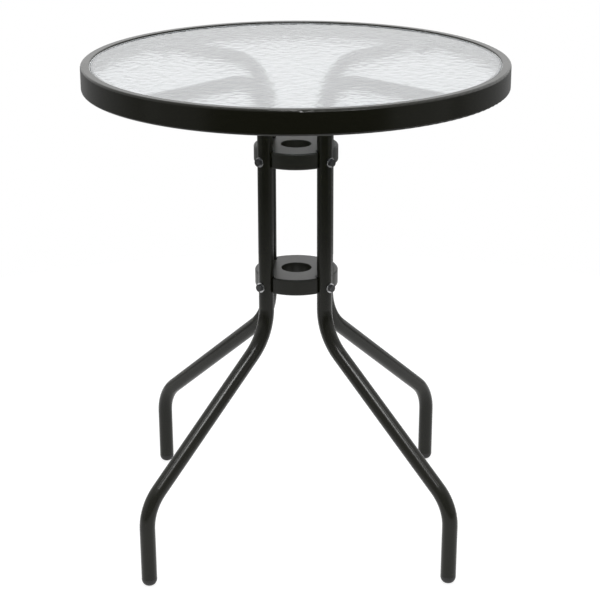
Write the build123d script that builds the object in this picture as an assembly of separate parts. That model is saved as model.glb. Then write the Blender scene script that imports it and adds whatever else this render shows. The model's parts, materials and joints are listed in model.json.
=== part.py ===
from build123d import *
import os
from math import radians, sqrt, tan

# Round garden table. Sizes are in millimetres, +Z is up, the floor is z = 0,
# the table's axis is the Z axis and its front is -Y.

# Table top
table_height = 706.5  # floor to the top of the rim
rim_diameter = 600.0
rim_sheet = 1.0
rim_band = 12.5  # band seen round the glass
rim_shoulder = 3.0  # outside radius where the band turns down into the wall
rim_edge = 1.5  # outside radius where the band turns down to the ledge
rim_corner = 3.0  # outside radius along the lower edge
rim_return = 10.0  # flange turned inward along the lower edge
ledge_width = 5.0  # shelf inside the rim that carries the glass
glass_thickness = 4.0
glass_recess = 2.2  # glass face below the top of the rim
glass_arris = 0.8  # ground edge of the glass
seal_thickness = 0.6
seal_play = 0.2  # from the rim to the seal's wall, and from there to the glass

# Legs: one bent tube each, drawn by the corners of its centre line
tube_diameter = 22.0
tube_wall = 1.2
post_offset = 59.0  # table axis to the axis of a post
leg_sideways = 3.5  # the plane of each leg passes this far beside the table's axis
waist_height = 313.5  # where the slanting run would meet the line of the post
knee_reach = 300.0
knee_height = 118.0
foot_reach = 299.0
arm_bend = 62.0
waist_bend = 82.0
knee_bend = 64.0
arm_end_gap = 11.0  # end of the arm to the inside of the rim's wall
arm_plug_cap = 1.6
foot_cap_height = 11.0
foot_flat = 7.0  # diameter of the flat that stands on the floor
foot_land = 1.0  # straight edge above the dome
foot_plug_length = 18.0
plug_play = 0.1

# Lugs inside the rim, one below the end of each arm
lug_length = 34.0
lug_width = 24.0
lug_thickness = 2.5
lug_wall_gap = 0.3  # to the start of the rim's rolled corner
lug_screw_setback = 22.0  # outer end of the lug to its hole

# Threaded inserts riveted into the arms
insert_length = 11.0
insert_diameter = 8.8
insert_flange = 12.0
insert_flange_thickness = 0.8
insert_collar = 11.4  # bulge inside the tube
insert_collar_length = 3.0
insert_play = 0.1
insert_plug_gap = 2.0  # collar to the plug in the end of the arm

# Hubs that hold the four posts together
hub_height = 23.5
hub_past_post = 1.2  # how far the hub reaches past the axes of the posts
hub_bore = 43.5
hub_edge = 2.5  # rounding of the upper and lower outlines
hub_corner = 3.0  # rounding beside each notch
hub_bore_edge = 1.0
upper_hub_gap = 39.3  # below the start of the arm's bend
lower_hub_gap = 25.2  # above the end of the waist bend
notch_play = 0.3

# Fasteners
bolt_diameter = 6.0
bolt_rise = 9.0  # lower face of the hub to the axes of its bolts
bolt_tip = 1.5  # thread past the nut or the insert
head_across = 10.0
head_height = 4.0
head_chamfer = 0.8
washer_diameter = 14.0
washer_thickness = 1.2
nut_across = 10.0
nut_thickness = 5.0
nut_depth = 10.0  # bottom of the notch to the nut
nut_play = 0.15
hole_play = 0.3
thread_play = 0.1
seat_play = 0.05  # between a round tube and what bears on it

# Places in the table top, from the glass down
rim_radius = rim_diameter / 2
rim_wall_inside = rim_radius - rim_sheet
rim_inside_corner = rim_corner - rim_sheet
glass_pocket = rim_radius - rim_band
glass_radius = glass_pocket - seal_thickness - 2 * seal_play
glass_top_z = table_height - glass_recess
glass_bottom_z = glass_top_z - glass_thickness
ledge_top = glass_bottom_z - seal_thickness
ledge_bottom = ledge_top - rim_sheet
tube_radius = tube_diameter / 2
tube_bore = tube_radius - tube_wall
arm_height = ledge_bottom - seat_play - tube_radius
arm_bottom = arm_height - tube_radius
insert_seat = arm_bottom - seat_play - insert_flange_thickness
lug_bottom = insert_seat - lug_thickness
rim_low = lug_bottom - rim_sheet

# Places along the arm
arm_reach = rim_wall_inside - arm_end_gap
lug_reach = rim_wall_inside - rim_inside_corner - lug_wall_gap
screw_reach = lug_reach - lug_screw_setback
plug_reach = screw_reach + insert_collar / 2 + insert_plug_gap

# Places round a hub
hub_radius = post_offset + hub_past_post
notch_radius = tube_radius + notch_play
nut_outside = post_offset - notch_radius - nut_depth
nut_inside = nut_outside - nut_thickness
bolt_end = nut_inside - bolt_tip
bolt_seat = post_offset + tube_radius + seat_play
slanting_run = Vector(knee_reach - post_offset, 0, knee_height - waist_height)
waist_turn = slanting_run.get_angle(Vector(0, 0, -1))
waist_bend_end = waist_height + waist_bend * tan(radians(waist_turn / 2))
hub_heights = {
    "upper_hub": arm_height - arm_bend - upper_hub_gap - hub_height,
    "lower_hub": waist_bend_end + lower_hub_gap,
}

outward = Vector(1, 0, 0)
upward = Vector(0, 0, 1)
foot_line = Vector(knee_reach - foot_reach, 0, knee_height).normalized()
corners = {"back_right": 45, "back_left": 135, "front_left": 225, "front_right": 315}
grow_up = (Align.CENTER, Align.CENTER, Align.MIN)


def ring(points, radii=0):
    """A body turned about the table's axis from an outline of radius and height."""
    outline = FilletPolyline(*points, radius=radii, close=True)
    return revolve(Plane.XZ * make_face(outline.edges()), axis=Axis.Z)


def around(body):
    """The body at each of the four corners, as one group of solids."""
    return Compound(children=[Rot(Z=angle) * body for angle in corners.values()])


def leg_point(reach, height):
    """A point of the leg's own plane, before the leg is turned to its corner."""
    return Vector(reach, -leg_sideways, height)


foot_end = leg_point(foot_reach, 0) + foot_line * foot_cap_height


def pointing(origin, direction):
    """A plane at a point of the leg's own plane, facing along a direction there."""
    return Plane(origin, x_dir=(0, 1, 0), z_dir=direction)


def rod(start, direction, radius, length):
    """A round bar from a point of the leg's own plane."""
    return pointing(start, direction) * Cylinder(radius, length, align=grow_up)


def hexagon(start, direction, across, length):
    """A hexagon bar with two of its flats facing sideways."""
    outline = RegularPolygon(across / 2, 6, major_radius=False, rotation=30)
    return pointing(start, direction) * extrude(outline, length)


def make_rim():
    """Wall, band, inner wall, ledge and lower return of one rolled strip."""
    ledge_tip = glass_pocket - ledge_width
    inner_wall = glass_pocket + rim_sheet
    points_and_radii = [
        ((rim_radius, rim_low), rim_corner),
        ((rim_radius, table_height), rim_shoulder),
        ((glass_pocket, table_height), rim_edge),
        ((glass_pocket, ledge_top), 0),
        ((ledge_tip, ledge_top), 0),
        ((ledge_tip, ledge_bottom), 0),
        ((inner_wall, ledge_bottom), 0),
        ((inner_wall, table_height - rim_sheet), rim_edge - rim_sheet),
        ((rim_wall_inside, table_height - rim_sheet), rim_shoulder - rim_sheet),
        ((rim_wall_inside, rim_low + rim_sheet), rim_inside_corner),
        ((rim_radius - rim_return, rim_low + rim_sheet), 0),
        ((rim_radius - rim_return, rim_low), 0),
    ]
    points, radii = zip(*points_and_radii)
    return ring(points, radii)


def make_glass():
    """Disc with a ground edge."""
    points = [
        (0, glass_bottom_z),
        (glass_radius - glass_arris, glass_bottom_z),
        (glass_radius, glass_bottom_z + glass_arris),
        (glass_radius, glass_top_z - glass_arris),
        (glass_radius - glass_arris, glass_top_z),
        (0, glass_top_z),
    ]
    return ring(points)


def make_seal():
    """Flat base on the ledge and a thin wall round the edge of the glass."""
    outside = glass_pocket - seal_play
    inside = outside - seal_thickness
    tip = glass_pocket - ledge_width
    points = [
        (tip, ledge_top),
        (outside, ledge_top),
        (outside, glass_top_z),
        (inside, glass_top_z),
        (inside, glass_bottom_z),
        (tip, glass_bottom_z),
    ]
    return ring(points)


def make_lug():
    """Tongue welded on the rim's lower return, round at its inner end, with a hole."""
    straight = lug_length - lug_width / 2
    tongue = Rectangle(straight, lug_width, align=(Align.MIN, Align.CENTER)) + Circle(lug_width / 2)
    plate = Pos(leg_point(lug_reach - straight, lug_bottom)) * extrude(tongue, lug_thickness)
    inside_wall = Pos(Z=lug_bottom) * Cylinder(lug_reach, lug_thickness, align=grow_up)
    hole = rod(leg_point(screw_reach, lug_bottom), upward, bolt_diameter / 2 + hole_play, lug_thickness)
    return (plate & inside_wall) - hole


def make_leg():
    """Bent tube with two bolt holes through its post and one hole under its arm."""
    points = [
        foot_end,
        leg_point(knee_reach, knee_height),
        leg_point(post_offset, waist_height),
        leg_point(post_offset, arm_height),
        leg_point(arm_reach, arm_height),
    ]
    path = FilletPolyline(*points, radius=[knee_bend, waist_bend, arm_bend])
    leg = sweep(pointing(foot_end, foot_line) * (Circle(tube_radius) - Circle(tube_bore)), path=path)
    for height in hub_heights.values():
        start = leg_point(post_offset - tube_diameter, height + bolt_rise)
        leg -= rod(start, outward, bolt_diameter / 2 + hole_play, 2 * tube_diameter)
    start = leg_point(screw_reach, arm_height - tube_diameter)
    return leg - rod(start, upward, insert_diameter / 2 + insert_play, tube_diameter)


def make_foot_cap():
    """Plug inside the tube and a dome below it, trimmed level on the floor."""
    plug = tube_bore - plug_play
    trimmed = foot_flat / 2 * foot_line.X / foot_line.Z
    dome_low = -foot_cap_height - trimmed
    dome_height = foot_cap_height + trimmed - foot_land
    dome_width = tube_radius - foot_flat / 2
    below = Polyline((0, dome_low), (foot_flat / 2, dome_low))
    dome = EllipticalCenterArc((foot_flat / 2, -foot_land), dome_width, dome_height, -90, arc_size=90)
    above = Polyline(
        (tube_radius, -foot_land),
        (tube_radius, 0),
        (plug, 0),
        (plug, foot_plug_length),
        (0, foot_plug_length),
        (0, dome_low),
    )
    turned = revolve(Plane.XZ * make_face(below.edges() + dome.edges() + above.edges()), axis=Axis.Z)
    room = Box(2 * tube_diameter, 2 * tube_diameter, table_height, align=grow_up)
    above_floor = Pos(leg_point(foot_reach, 0)) * room
    return pointing(foot_end, foot_line) * turned & above_floor


def make_arm_plug():
    """Push-in plug with a thin cap on the open end of the arm."""
    cap = rod(leg_point(arm_reach, arm_height), outward, tube_radius, arm_plug_cap)
    cap = fillet(cap.edges().sort_by(Axis.X)[-1], arm_plug_cap / 2)
    inside = rod(leg_point(plug_reach, arm_height), outward, tube_bore - plug_play, arm_reach - plug_reach)
    return cap + inside


def make_insert():
    """Threaded sleeve with a flange under the arm and a bulge inside its wall."""
    seat = leg_point(screw_reach, insert_seat)
    collar_radius = insert_collar / 2
    inside_wall = arm_height - sqrt(tube_bore**2 - collar_radius**2) + insert_play
    insert = rod(seat, upward, insert_flange / 2, insert_flange_thickness)
    insert += rod(seat, upward, insert_diameter / 2, insert_length)
    insert += rod(leg_point(screw_reach, inside_wall), upward, collar_radius, insert_collar_length)
    return insert - rod(seat, upward, bolt_diameter / 2 + thread_play, insert_length)


def beside_notch(edge):
    """True for an upright edge where a notch breaks the hub's round outline."""
    return abs(edge.tangent_at(0.5).Z) > 0.5 and edge.center().length > post_offset


def make_hub():
    """Disc with a notch for each post, bolt holes and pockets for the nuts."""
    half = hub_height / 2
    points = [(hub_bore / 2, -half), (hub_radius, -half), (hub_radius, half), (hub_bore / 2, half)]
    hub = ring(points, [hub_bore_edge, 0, 0, hub_bore_edge])
    for angle in corners.values():
        hub -= Rot(Z=angle) * Pos(leg_point(post_offset, 0)) * Cylinder(notch_radius, hub_height)
    hub = fillet(hub.edges().filter_by(beside_notch), hub_corner)
    faces = hub.faces().filter_by(Axis.Z).sort_by(Axis.Z)
    hub = fillet(faces[0].outer_wire().edges() + faces[-1].outer_wire().edges(), hub_edge)
    hub = Pos(Z=half) * hub

    start = leg_point(bolt_end - hole_play, bolt_rise)
    hole = rod(start, outward, bolt_diameter / 2 + hole_play, post_offset - start.X)
    pocket_top = bolt_rise + nut_across / sqrt(3) + nut_play
    pocket = Pos(leg_point((nut_inside + nut_outside) / 2, 0)) * Box(
        nut_thickness + 2 * nut_play, nut_across + 2 * nut_play, pocket_top, align=grow_up
    )
    for angle in corners.values():
        hub -= Rot(Z=angle) * (hole + pocket)
    return hub


def make_bolt(under_head, direction, length):
    """Hexagon bolt whose head stands on a seat, with its shank running back from it."""
    turned = rod(under_head, direction, head_across / sqrt(3), head_height)
    turned = chamfer(turned.edges().sort_by(Axis(under_head, direction))[-1], head_chamfer)
    head = hexagon(under_head, direction, head_across, head_height) & turned
    return head + rod(under_head, -direction, bolt_diameter / 2, length)


def make_washer(seat, direction):
    disc = rod(seat, direction, washer_diameter / 2, washer_thickness)
    return disc - rod(seat, direction, bolt_diameter / 2 + hole_play, washer_thickness)


def make_nut(height):
    start = leg_point(nut_inside, height)
    blank = hexagon(start, outward, nut_across, nut_thickness)
    return blank - rod(start, outward, bolt_diameter / 2 + thread_play, nut_thickness)


parts = {"top_rim": make_rim(), "glass_top": make_glass(), "glass_seal": make_seal()}

for hub, height in hub_heights.items():
    seat = leg_point(bolt_seat, height + bolt_rise)
    under_head = seat + outward * washer_thickness
    parts[hub] = Pos(Z=height) * make_hub()
    parts[f"{hub}_bolts"] = around(make_bolt(under_head, outward, under_head.X - bolt_end))
    parts[f"{hub}_washers"] = around(make_washer(seat, outward))
    parts[f"{hub}_nuts"] = around(make_nut(height + bolt_rise))

seat = leg_point(screw_reach, lug_bottom)
under_head = seat - upward * washer_thickness
screw_length = insert_seat + insert_length + bolt_tip - under_head.Z
parts["arm_screws"] = around(make_bolt(under_head, -upward, screw_length))
parts["arm_washers"] = around(make_washer(seat, -upward))
parts["arm_inserts"] = around(make_insert())

each_leg = {
    "leg": make_leg(),
    "foot_cap": make_foot_cap(),
    "arm_plug": make_arm_plug(),
    "rim_lug": make_lug(),
}
for corner, angle in corners.items():
    for name, body in each_leg.items():
        parts[f"{name}_{corner}"] = Rot(Z=angle) * body

os.makedirs("parts", exist_ok=True)
for name, body in parts.items():
    export_step(body, f"parts/{name}.step")
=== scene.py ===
import json
import math

import bpy
from mathutils import Matrix, Vector


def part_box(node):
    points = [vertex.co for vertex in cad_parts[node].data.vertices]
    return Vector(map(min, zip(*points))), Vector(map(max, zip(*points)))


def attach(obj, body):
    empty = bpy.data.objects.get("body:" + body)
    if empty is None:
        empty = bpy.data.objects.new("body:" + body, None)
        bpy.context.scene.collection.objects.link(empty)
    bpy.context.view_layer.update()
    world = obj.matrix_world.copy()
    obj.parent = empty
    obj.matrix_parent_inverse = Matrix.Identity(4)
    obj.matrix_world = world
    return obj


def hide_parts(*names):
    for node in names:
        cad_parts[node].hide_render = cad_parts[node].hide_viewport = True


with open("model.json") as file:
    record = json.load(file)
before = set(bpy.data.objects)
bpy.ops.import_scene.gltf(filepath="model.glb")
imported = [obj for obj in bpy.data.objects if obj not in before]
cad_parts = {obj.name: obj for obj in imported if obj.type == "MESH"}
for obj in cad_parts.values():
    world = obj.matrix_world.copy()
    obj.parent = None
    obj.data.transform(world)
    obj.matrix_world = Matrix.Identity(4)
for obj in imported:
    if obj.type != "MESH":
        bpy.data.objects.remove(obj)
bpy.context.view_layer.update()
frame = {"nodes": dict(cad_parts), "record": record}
nodes = frame["nodes"]
print("table frame loaded with", len(nodes), "nodes")


# one socket of a material, with plain arithmetic
class Wire:
    def __init__(self, tree, socket=None):
        self.tree = tree
        self.socket = socket

    def make(self, kind, settings={}, inputs={}, output=0):
        node = self.tree.nodes.new(kind)
        for name, value in settings.items():
            setattr(node, name, value)
        for name, value in inputs.items():
            if isinstance(value, Wire):
                self.tree.links.new(value.socket, node.inputs[name])
            else:
                node.inputs[name].default_value = value
        return Wire(self.tree, node.outputs[output] if node.outputs else None)

    def sum(self, operation, first, second):
        return self.make("ShaderNodeMath", {"operation": operation}, {0: first, 1: second})

    def __add__(self, other):
        return self.sum("ADD", self, other)

    def __radd__(self, other):
        return self.sum("ADD", other, self)

    def __sub__(self, other):
        return self.sum("SUBTRACT", self, other)

    def __rsub__(self, other):
        return self.sum("SUBTRACT", other, self)

    def __mul__(self, other):
        return self.sum("MULTIPLY", self, other)

    def __rmul__(self, other):
        return self.sum("MULTIPLY", other, self)


def newMaterial(name):
    material = bpy.data.materials.new(name)
    material.use_nodes = True
    material.node_tree.nodes.clear()
    start = Wire(material.node_tree)
    return material, start


def grain(start, scale, detail, roughness):
    place = start.make("ShaderNodeTexCoord", output="Object")
    return start.make("ShaderNodeTexNoise", {"noise_dimensions": "3D"},
                      {"Vector": place, "Scale": scale, "Detail": detail, "Roughness": roughness}, "Fac")


def blendColours(start, mask, dark, light):
    return start.make("ShaderNodeMix", {"data_type": "RGBA"}, {0: mask, 6: dark, 7: light}, 2)


def relief(start, height, strength, distance):
    return start.make("ShaderNodeBump", {}, {"Height": height, "Strength": strength, "Distance": distance})


# the powder coat, the mouldings, the edge trim and the bolts differ only in these numbers
coatLooks = {
    "powderCoat": {"dark": (0.0060, 0.0062, 0.0030, 1), "light": (0.0086, 0.0088, 0.0048, 1),
                   "rough": 0.24, "roughSpread": 0.08, "peel": 900, "peelDepth": 0.05, "specular": 0.3},
    "hubPlastic": {"dark": (0.0064, 0.0067, 0.0036, 1), "light": (0.0092, 0.0095, 0.0056, 1),
                   "rough": 0.36, "roughSpread": 0.10, "peel": 1500, "peelDepth": 0.14, "specular": 0.38},
    "footPlastic": {"dark": (0.0150, 0.0148, 0.0142, 1), "light": (0.0210, 0.0205, 0.0195, 1),
                    "rough": 0.5, "roughSpread": 0.12, "peel": 1800, "peelDepth": 0.16, "specular": 0.4},
    "sealRubber": {"dark": (0.66, 0.67, 0.67, 1), "light": (0.74, 0.75, 0.75, 1),
                   "rough": 0.5, "roughSpread": 0.10, "peel": 2200, "peelDepth": 0.2, "specular": 0.4},
    "blackZinc": {"dark": (0.0120, 0.0120, 0.0125, 1), "light": (0.0230, 0.0230, 0.0240, 1),
                  "rough": 0.34, "roughSpread": 0.14, "peel": 2600, "peelDepth": 0.12, "specular": 0.5},
}

coatGrain = {"cloudScale": 14.0, "fineSpread": 0.06, "peelHeight": 0.0002}  # the same on all of them


def coatMaterial(name):
    look = coatLooks[name]
    material, start = newMaterial(name)
    cloud = grain(start, coatGrain["cloudScale"], 4.0, 0.6)
    fine = grain(start, look["peel"], 2.0, 0.55)
    colour = blendColours(start, cloud, look["dark"], look["light"])
    rough = look["rough"] + (cloud - 0.5) * look["roughSpread"] + (fine - 0.5) * coatGrain["fineSpread"]
    bump = relief(start, fine, look["peelDepth"], coatGrain["peelHeight"])
    shader = start.make("ShaderNodeBsdfPrincipled", {}, {
        "Base Color": colour, "Roughness": rough, "Normal": bump, "Specular IOR Level": look["specular"]})
    start.make("ShaderNodeOutputMaterial", {}, {"Surface": shader})
    return material


zincLook = {"dark": (0.52, 0.52, 0.53, 1), "light": (0.74, 0.745, 0.75, 1), "cloudScale": 60.0,
            "rough": 0.26, "roughSpread": 0.2, "brush": 700, "brushDepth": 0.08, "brushHeight": 0.0002}


def zincMaterial():
    material, start = newMaterial("brightZinc")
    cloud = grain(start, zincLook["cloudScale"], 3.0, 0.6)
    brush = grain(start, zincLook["brush"], 2.0, 0.6)
    colour = blendColours(start, cloud, zincLook["dark"], zincLook["light"])
    rough = zincLook["rough"] + (brush - 0.5) * zincLook["roughSpread"]
    shader = start.make("ShaderNodeBsdfPrincipled", {}, {
        "Base Color": colour, "Roughness": rough, "Metallic": 1.0,
        "Normal": relief(start, brush, zincLook["brushDepth"], zincLook["brushHeight"])})
    start.make("ShaderNodeOutputMaterial", {}, {"Surface": shader})
    return material


glassLook = {"tint": (0.600, 0.620, 0.635, 1), "deep": (0.580, 0.600, 0.615, 1), "cloudScale": 9.0,
             "rough": 0.05, "roughSpread": 0.08, "index": 1.5, "clear": 0.9,
             "speckScale": 260.0, "speckDepth": 0.1, "speckHeight": 0.0004}


def glassMaterial():
    material, start = newMaterial("rippleGlass")
    cloud = grain(start, glassLook["cloudScale"], 3.0, 0.6)
    specks = grain(start, glassLook["speckScale"], 3.0, 0.6)
    colour = blendColours(start, cloud, glassLook["deep"], glassLook["tint"])
    rough = glassLook["rough"] + (specks - 0.5) * glassLook["roughSpread"]
    bump = relief(start, specks, glassLook["speckDepth"], glassLook["speckHeight"])
    shader = start.make("ShaderNodeBsdfPrincipled", {}, {
        "Base Color": colour, "Roughness": rough, "IOR": glassLook["index"],
        "Transmission Weight": glassLook["clear"], "Normal": bump})
    clear = start.make("ShaderNodeBsdfTransparent", {}, {"Color": glassLook["tint"]})
    lamp = start.make("ShaderNodeLightPath", output="Is Shadow Ray")
    mixed = start.make("ShaderNodeMixShader", {}, {0: lamp, 1: shader, 2: clear})
    start.make("ShaderNodeOutputMaterial", {}, {"Surface": mixed})
    return material


slotMaterials = {
    "powder_coat": coatMaterial("powderCoat"),
    "hub_plastic": coatMaterial("hubPlastic"),
    "foot_plastic": coatMaterial("footPlastic"),
    "seal_rubber": coatMaterial("sealRubber"),
    "black_zinc": coatMaterial("blackZinc"),
    "bright_zinc": zincMaterial(),
    "ripple_glass": glassMaterial(),
}
for part in frame["record"]["subparts"]:
    node = nodes[part["node"]]
    for slot in node.material_slots:
        slot.material = slotMaterials[part["material_slot"]]
print("finishes set on", len(nodes), "nodes")


# rippled glass: the upper face is a fine grid that two noises push up and down
glass = {
    "edgePoints": 1152,  # points round the edge, a multiple of four
    "arris": 0.0008,
    "waves": [{"size": 0.0095, "depth": 0.00046, "stretch": (1.0, 1.0, 1.0), "seed": (0.31, 0.17, 0.004)},
              {"size": 0.0060, "depth": 0.00010, "stretch": (1.0, 1.0, 1.0), "seed": (0.07, 0.52, 0.002)}],
    "flatEdge": 0.002,  # the ripple dies out this far from the edge
    "smoothAngle": 25,
}


def pickNone():
    if bpy.context.object and bpy.context.object.mode == "EDIT":
        bpy.ops.object.mode_set(mode="OBJECT")
    bpy.ops.object.select_all(action="DESELECT")


def makeGlass():
    low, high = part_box("glass_top")
    radius = (high.x - low.x) / 2
    face = radius - glass["arris"]
    count = glass["edgePoints"]
    pickNone()
    bpy.ops.mesh.primitive_circle_add(vertices=count, radius=face, fill_type="NOTHING",
                                      location=(0, 0, high.z))
    pane = bpy.context.object
    pane.name = "rippleGlass"
    bpy.ops.object.transform_apply(location=True, rotation=True, scale=True)
    bpy.ops.object.mode_set(mode="EDIT")
    bpy.ops.mesh.select_all(action="SELECT")
    bpy.ops.mesh.fill_grid(span=count // 4, offset=0)
    bpy.ops.object.mode_set(mode="OBJECT")
    rippled = pane.vertex_groups.new(name="rippled")
    for point in pane.data.vertices:
        inside = (face - Vector(point.co[:2]).length) / glass["flatEdge"]
        rippled.add([point.index], min(1.0, max(0.0, inside)), "REPLACE")
    # ground edge, side and underside
    edge = [i for i, point in enumerate(pane.data.vertices) if point.co.xy.length > face - 1e-6]
    for spread, drop in ((radius / face, glass["arris"]),
                         (1.0, high.z - low.z - 2 * glass["arris"]),
                         (face / radius, glass["arris"])):
        pane.data.update()
        for item in (*pane.data.vertices, *pane.data.edges, *pane.data.polygons):
            item.select = False
        for index in edge:
            pane.data.vertices[index].select = True
        before = len(pane.data.vertices)
        bpy.ops.object.mode_set(mode="EDIT")
        bpy.ops.mesh.select_mode(type="VERT")
        bpy.ops.mesh.extrude_edges_move(TRANSFORM_OT_translate={"value": (0, 0, -drop)})
        bpy.ops.transform.resize(value=(spread, spread, 1), center_override=(0, 0, 0))
        bpy.ops.object.mode_set(mode="OBJECT")
        edge = list(range(before, len(pane.data.vertices)))
    bpy.ops.object.mode_set(mode="EDIT")
    bpy.ops.mesh.edge_face_add()
    bpy.ops.mesh.select_all(action="SELECT")
    bpy.ops.mesh.normals_make_consistent(inside=False)
    bpy.ops.object.mode_set(mode="OBJECT")
    for number, wave in enumerate(glass["waves"]):
        texture = bpy.data.textures.new(f"glassWave{number}", "CLOUDS")
        texture.noise_basis = "IMPROVED_PERLIN"
        texture.noise_scale = wave["size"]
        texture.noise_depth = 1
        guide = bpy.data.objects.new(f"waveGuide{number}", None)
        bpy.context.scene.collection.objects.link(guide)
        guide.location = wave["seed"]
        guide.scale = wave["stretch"]
        bpy.context.view_layer.update()
        push = pane.modifiers.new(f"wave{number}", "DISPLACE")
        push.texture = texture
        push.texture_coords = "OBJECT"
        push.texture_coords_object = guide
        push.direction = "Z"
        push.strength = wave["depth"]
        push.mid_level = 0.5
        push.vertex_group = "rippled"
        bpy.ops.object.modifier_apply(modifier=push.name)
        bpy.data.objects.remove(guide)
    bpy.ops.object.shade_smooth_by_angle(angle=math.radians(glass["smoothAngle"]))
    pane.data.materials.append(slotMaterials["ripple_glass"])
    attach(pane, "root")
    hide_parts("glass_top")
    print("rippled glass with", len(pane.data.polygons), "faces")


makeGlass()


# pale floor, a soft world and softboxes
studio = {
    "floorRadius": 1.3,
    "floorLevel": -0.0005,
    "floorColour": (0.80, 0.80, 0.79, 1),
    "floorGlow": 0.84,  # share of the white that the camera sees without light
    "floorShade": (0.26, 0.26, 0.26, 1),  # the part that takes the shadow
    "behind": 0.95,  # the world's light from behind, from in front and from under the horizon
    "ahead": 0.12,
    "below": 0.35,
    "mirroredAhead": 0.4,  # share of the white backdrop that is mirrored from in front
    "highShare": 0.7,  # how far a high direction counts as behind
    "frontToBack": (-0.35, 0.35),  # the world's light changes between these
    "horizon": (-0.08, 0.0),
    "mirrorRise": (-0.02, 0.03),  # the mirrored backdrop starts at the horizon
    "mirrorTurn": (0.0, 0.4),  # and is full behind the table
}


def directView(start):
    camera = start.make("ShaderNodeLightPath", output="Is Camera Ray")
    through = start.make("ShaderNodeLightPath", output="Is Transmission Ray")
    return start.sum("MAXIMUM", camera, through)


def makeFloor():
    pickNone()
    bpy.ops.mesh.primitive_circle_add(vertices=128, radius=studio["floorRadius"], fill_type="NGON",
                                      location=(0, 0, studio["floorLevel"]))
    floor = bpy.context.object
    floor.name = "paleFloor"
    bpy.ops.object.transform_apply(location=True, rotation=True, scale=True)
    material, start = newMaterial("paleFloor")
    seen = start.sum("MAXIMUM", directView(start), start.make("ShaderNodeLightPath", output="Is Glossy Ray"))
    glow = start.make("ShaderNodeEmission", {}, {"Color": (1, 1, 1, 1), "Strength": studio["floorGlow"]})
    shade = start.make("ShaderNodeBsdfDiffuse", {}, {"Color": studio["floorShade"]})
    pale = start.make("ShaderNodeBsdfDiffuse", {}, {"Color": studio["floorColour"]})
    white = start.make("ShaderNodeAddShader", {}, {0: glow, 1: shade})
    mixed = start.make("ShaderNodeMixShader", {}, {0: seen, 1: pale, 2: white})
    start.make("ShaderNodeOutputMaterial", {}, {"Surface": mixed})
    floor.data.materials.append(material)


def ease(start, value, span, first, last):
    return start.make("ShaderNodeMapRange", {"interpolation_type": "SMOOTHSTEP"}, {
        "Value": value, "From Min": span[0], "From Max": span[1], "To Min": first, "To Max": last})


def makeWorld():
    world = bpy.data.worlds.new("studioWorld")
    bpy.context.scene.world = world
    world.use_nodes = True
    world.node_tree.nodes.clear()
    start = Wire(world.node_tree)
    way = start.make("ShaderNodeTexCoord", output="Generated")
    apart = start.make("ShaderNodeSeparateXYZ", {}, {0: way})
    away = Wire(world.node_tree, apart.socket.node.outputs["Y"])
    up = Wire(world.node_tree, apart.socket.node.outputs["Z"])
    side = away + start.sum("MAXIMUM", up, 0.0) * studio["highShare"]
    level = ease(start, side, studio["frontToBack"], studio["ahead"], studio["behind"])
    level = level * ease(start, up, studio["horizon"], studio["below"], 1.0)
    backdrop = ease(start, up, studio["mirrorRise"], 0.0, 1.0)
    backdrop = backdrop * ease(start, away, studio["mirrorTurn"], studio["mirroredAhead"], 1.0)
    mirrored = start.make("ShaderNodeLightPath", output="Is Glossy Ray") * backdrop
    seen = start.sum("MAXIMUM", directView(start), mirrored)
    strength = level + seen * (1.0 - level)
    shown = start.make("ShaderNodeBackground", {}, {"Color": (1, 1, 1, 1), "Strength": strength})
    start.make("ShaderNodeOutputWorld", {}, {"Surface": shown})


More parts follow.
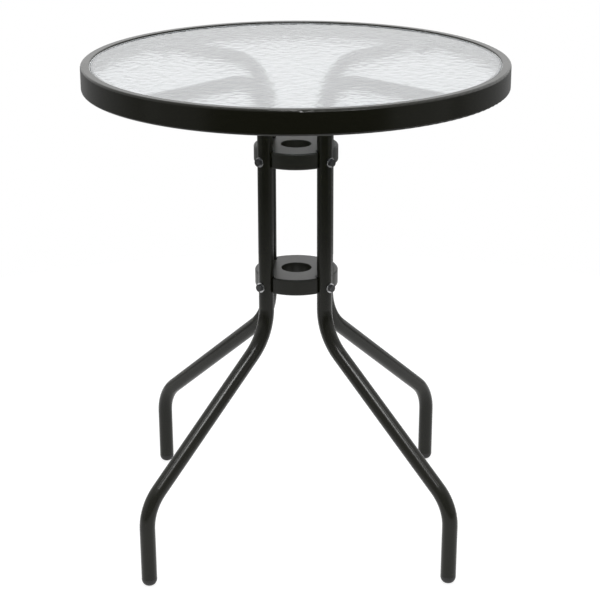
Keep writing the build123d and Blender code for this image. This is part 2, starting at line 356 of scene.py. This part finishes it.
lamps = [
    {"name": "keySoftbox", "place": (0, -1.27, 2.3), "aim": (0, 0, 0.3), "size": (0.60, 0.60), "power": 24},
    {"name": "leftSoftbox", "place": (-1.0, -0.8, 2.4), "aim": (0, 0, 0.5), "size": (0.4, 0.4), "power": 3},
    {"name": "rightSoftbox", "place": (1.0, -0.8, 2.4), "aim": (0, 0, 0.5), "size": (0.4, 0.4), "power": 3},
    {"name": "backSoftbox", "place": (0, 2.6, 1.4), "aim": (0, 0, 0.7), "size": (3.6, 0.9), "power": 2.5},
    {"name": "leftPanel", "place": (-2.2, -1.1, 0.6), "aim": (0, 0, 0.6), "size": (1.6, 1.6), "power": 2.4},
    {"name": "rightPanel", "place": (2.2, -1.1, 0.6), "aim": (0, 0, 0.6), "size": (1.6, 1.6), "power": 2.8},
]


def makeLamps():
    for lamp in lamps:
        light = bpy.data.lights.new(lamp["name"], "AREA")
        light.shape = "RECTANGLE"
        light.size, light.size_y = lamp["size"]
        light.energy = lamp["power"]
        holder = bpy.data.objects.new(lamp["name"], light)
        bpy.context.scene.collection.objects.link(holder)
        holder.location = lamp["place"]
        toward = Vector(lamp["aim"]) - Vector(lamp["place"])
        holder.rotation_euler = toward.to_track_quat("-Z", "Y").to_euler()


makeFloor()
makeWorld()
makeLamps()
print("studio set")


# the photograph's viewpoint, from a fit to the rim, the feet, the posts and the hubs
viewpoint = {"place": (-0.0516, -2.4511, 1.2184), "turn": 0.0231, "tilt": 0.3402, "roll": -0.0028,
             "lens": 106.54, "sensor": 36.0}


def makeCamera():
    turn, tilt, roll = viewpoint["turn"], viewpoint["tilt"], viewpoint["roll"]
    ahead = Vector((math.sin(turn) * math.cos(tilt), math.cos(turn) * math.cos(tilt), -math.sin(tilt)))
    level = Vector((math.cos(turn), -math.sin(turn), 0))
    upright = level.cross(ahead)
    right = level * math.cos(roll) + upright * math.sin(roll)
    up = upright * math.cos(roll) - level * math.sin(roll)
    lens = bpy.data.cameras.new("photoCamera")
    lens.lens = viewpoint["lens"]
    lens.sensor_width = viewpoint["sensor"]
    camera = bpy.data.objects.new("photoCamera", lens)
    bpy.context.scene.collection.objects.link(camera)
    camera.location = viewpoint["place"]
    camera.rotation_euler = Matrix((right, up, -ahead)).transposed().to_euler()
    bpy.context.scene.camera = camera


makeCamera()
bpy.context.scene.view_settings.view_transform = "Standard"
print("camera set")
